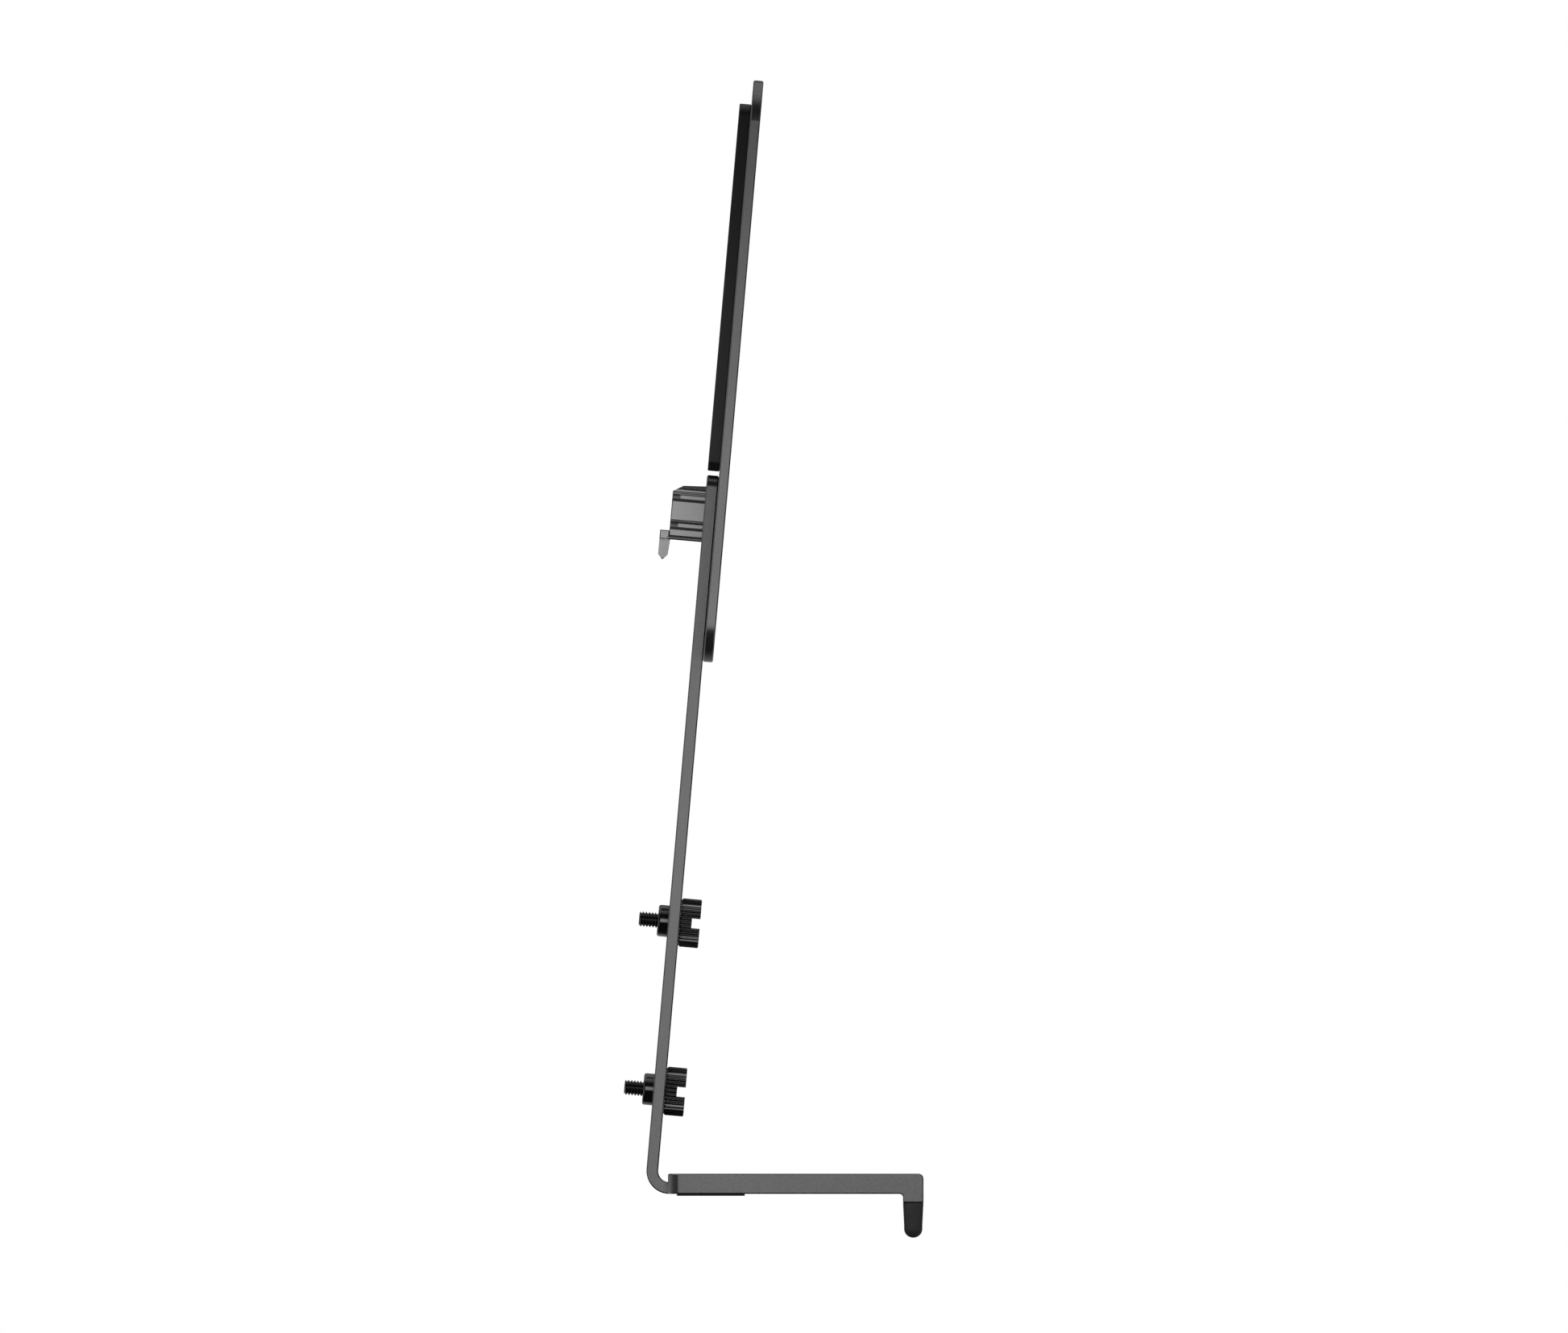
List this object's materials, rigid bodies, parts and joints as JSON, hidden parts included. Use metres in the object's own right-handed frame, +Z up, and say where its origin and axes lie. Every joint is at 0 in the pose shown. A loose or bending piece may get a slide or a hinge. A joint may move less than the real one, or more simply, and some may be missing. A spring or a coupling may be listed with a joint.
{
  "type": "music stand",
  "caption": "Hook-on music stand: a padded back panel on a bent upright plate with a ledge hook, captive thumb screws and a rubber-tipped foot that drops over a rear edge.",
  "frame": {"origin": "centre of the underside of the foot pad, where the stand rests on the instrument", "axes": "+X from the reader's side towards the rear, +Y across the panel's width, +Z up"},
  "size_m": [0.124, 0.3, 0.4787],
  "materials": {
    "plate_metal": "fine sand-blasted, dark grey anodised",
    "hook_metal": "bead-blasted, mid grey anodised",
    "black_steel": "black oxide, semi-gloss",
    "screw_steel": "black oxide, satin",
    "pad_rubber": "matte, fine grain",
    "foot_rubber": "matte"
  },
  "bodies": {
    "stand": {"bracket_plate": "plate_metal", "back_panel": "plate_metal", "rest_pad": "pad_rubber", "hook_block": "hook_metal", "hook_bar": "hook_metal", "foot_yoke": "plate_metal", "foot_pad": "foot_rubber", "rubber_tip_left": "foot_rubber", "rubber_tip_right": "foot_rubber", "bushing_upper": "black_steel", "bushing_lower": "black_steel", "panel_screws": "screw_steel", "hook_screws": "screw_steel", "hook_bar_screws": "screw_steel", "foot_screws": "screw_steel"},
    "thumb_screw_upper": {"thumb_screw_head_upper": "black_steel", "thumb_screw_stud_upper": "black_steel", "retaining_clip_upper": "screw_steel"},
    "thumb_screw_lower": {"thumb_screw_head_lower": "black_steel", "thumb_screw_stud_lower": "black_steel", "retaining_clip_lower": "screw_steel"}
  },
  "joints": [
    {"name": "thumb_screw_upper_turn", "type": "hinge", "parent": "stand", "child": "thumb_screw_upper", "pos_m": [-0.01763, 0, 0.11357], "axis": [-0.9962, 0, 0.0872], "continuous": true},
    {"name": "thumb_screw_lower_turn", "type": "hinge", "parent": "stand", "child": "thumb_screw_lower", "pos_m": [-0.02373, 0, 0.04394], "axis": [-0.9962, 0, 0.0872], "continuous": true}
  ]
}
